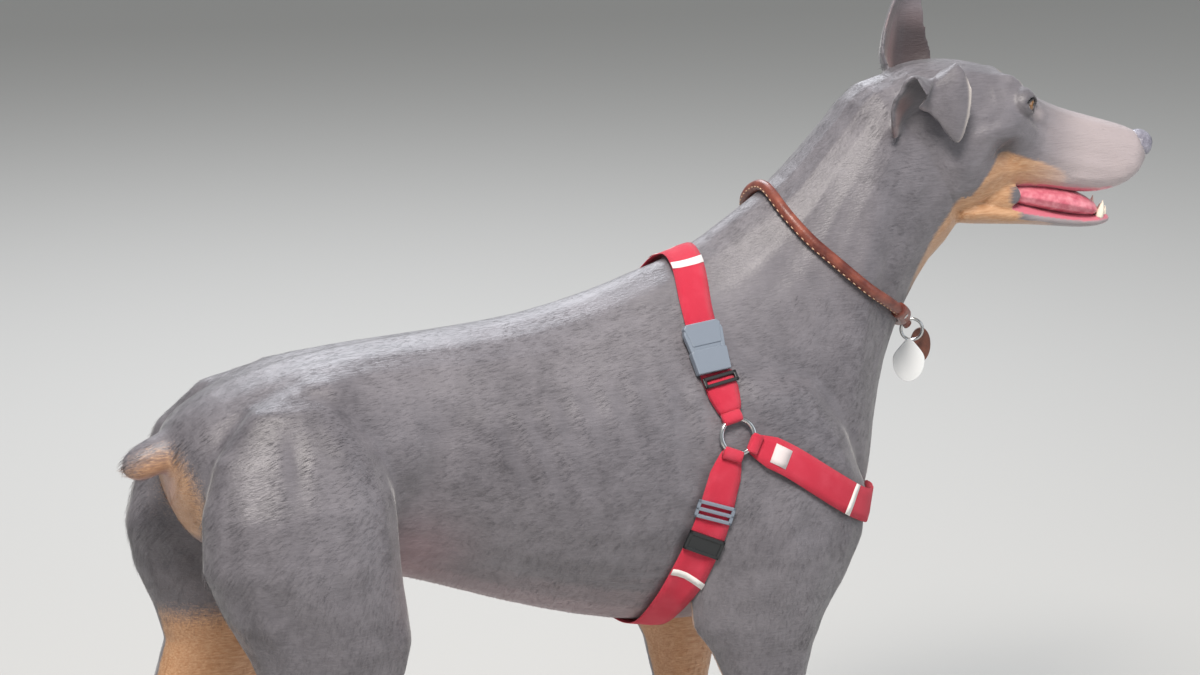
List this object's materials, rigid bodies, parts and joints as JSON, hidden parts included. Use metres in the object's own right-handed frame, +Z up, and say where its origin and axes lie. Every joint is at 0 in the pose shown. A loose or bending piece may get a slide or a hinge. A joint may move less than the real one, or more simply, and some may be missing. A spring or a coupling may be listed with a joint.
{
  "type": "standing dog",
  "caption": "Life-size standing short-haired dog with deep chest, long muzzle and docked tail, in a rolled collar and a webbing walking harness.",
  "frame": {"origin": "bottom centre of the bounding box, on the floor under the middle of the dog", "axes": "+X forward along the back to the nose, +Y to the dog's left, +Z up"},
  "size_m": [1.0702, 0.2626, 0.9124],
  "materials": {
    "blue_coat": "short satin fur, blue-grey",
    "rust_coat": "short fur, rust",
    "nose_leather": "bare nose leather, slate",
    "eye": "wet amber eye",
    "tongue": "wet pink tongue",
    "red_webbing": "woven strap",
    "grey_plastic": "moulded, satin",
    "black_plastic": "moulded, satin",
    "steel": "polished welded rings",
    "brown_leather": "rolled and stitched",
    "white_enamel": "enamelled tag"
  },
  "bodies": {
    "root": {"buckle_left": "grey_plastic", "buckle_right": "grey_plastic", "collar": "brown_leather", "collar_ring": "steel", "collar_tab": "brown_leather", "ear_left": "blue_coat", "ear_right": "blue_coat", "eye_left": "eye", "eye_right": "eye", "head": "blue_coat", "jaw": "rust_coat", "keeper_left": "black_plastic", "keeper_right": "black_plastic", "leg_front_left": "blue_coat", "leg_front_right": "blue_coat", "leg_hind_left": "blue_coat", "leg_hind_right": "blue_coat", "neck": "blue_coat", "nose": "nose_leather", "ring_front": "steel", "ring_side_left": "steel", "ring_side_right": "steel", "slider_dark_left": "black_plastic", "slider_dark_right": "black_plastic", "slider_grey_left": "grey_plastic", "slider_grey_right": "grey_plastic", "strap_back": "red_webbing", "strap_chest_left": "red_webbing", "strap_chest_right": "red_webbing", "strap_girth": "red_webbing", "strap_shoulder_left": "red_webbing", "strap_shoulder_right": "red_webbing", "tag": "white_enamel", "tail": "blue_coat", "tongue": "tongue", "torso": "blue_coat"}
  },
  "joints": []
}
